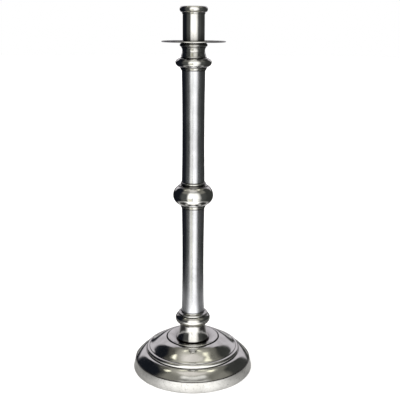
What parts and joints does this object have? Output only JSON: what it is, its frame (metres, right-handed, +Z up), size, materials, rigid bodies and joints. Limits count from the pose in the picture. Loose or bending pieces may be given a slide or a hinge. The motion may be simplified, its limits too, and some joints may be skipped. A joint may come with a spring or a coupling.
{
  "type": "altar candlestick",
  "caption": "Tall turned pewter altar candlestick with stepped domed base, knopped two-part column, lift-off drip pan and plain candle socket.",
  "frame": {"origin": "centre of the resting face, on the table", "axes": "+Z up along the stem, towards the candle; the object is a body of revolution about Z"},
  "size_m": [0.206, 0.206, 0.61],
  "materials": {
    "polished_pewter": "polished, softened by fine wear",
    "brushed_pewter": "brushed along the column",
    "satin_pewter": "satin with fine dark specks",
    "zinc_steel": "zinc plated",
    "turned_core_metal": "as turned",
    "cast_iron": "as cast",
    "felt": "green baize"
  },
  "bodies": {
    "stand": {"base_felt": "felt", "base_plate": "zinc_steel", "plate_screws": "zinc_steel", "base_weight": "cast_iron", "foot_band": "satin_pewter", "base_shell": "polished_pewter", "base_washer": "zinc_steel", "base_nut": "zinc_steel", "tie_rod": "zinc_steel", "lower_knop": "polished_pewter", "lower_column_ring": "polished_pewter", "lower_column_bottom_bush": "turned_core_metal", "lower_column": "brushed_pewter", "lower_column_top_bush": "turned_core_metal", "knop_lower_collar": "polished_pewter", "knop_lower_half": "polished_pewter", "knop_spacer": "turned_core_metal", "knop_upper_half": "polished_pewter", "knop_upper_collar": "polished_pewter", "upper_column_bottom_bush": "turned_core_metal", "upper_column": "brushed_pewter", "upper_column_top_bush": "turned_core_metal", "upper_column_ring": "polished_pewter", "capital": "polished_pewter", "top_washer": "zinc_steel", "top_nut": "zinc_steel"},
    "drip_pan": {"drip_pan": "polished_pewter"},
    "candle_socket": {"socket_spigot": "turned_core_metal", "socket_tube": "polished_pewter", "socket_rim": "polished_pewter"}
  },
  "joints": [
    {"name": "drip_pan_lift", "type": "slide", "parent": "stand", "child": "drip_pan", "axis": [0, 0, 1], "range_m": [0, 0.04]},
    {"name": "candle_socket_lift", "type": "slide", "parent": "drip_pan", "child": "candle_socket", "axis": [0, 0, 1], "range_m": [0, 0.05]}
  ]
}
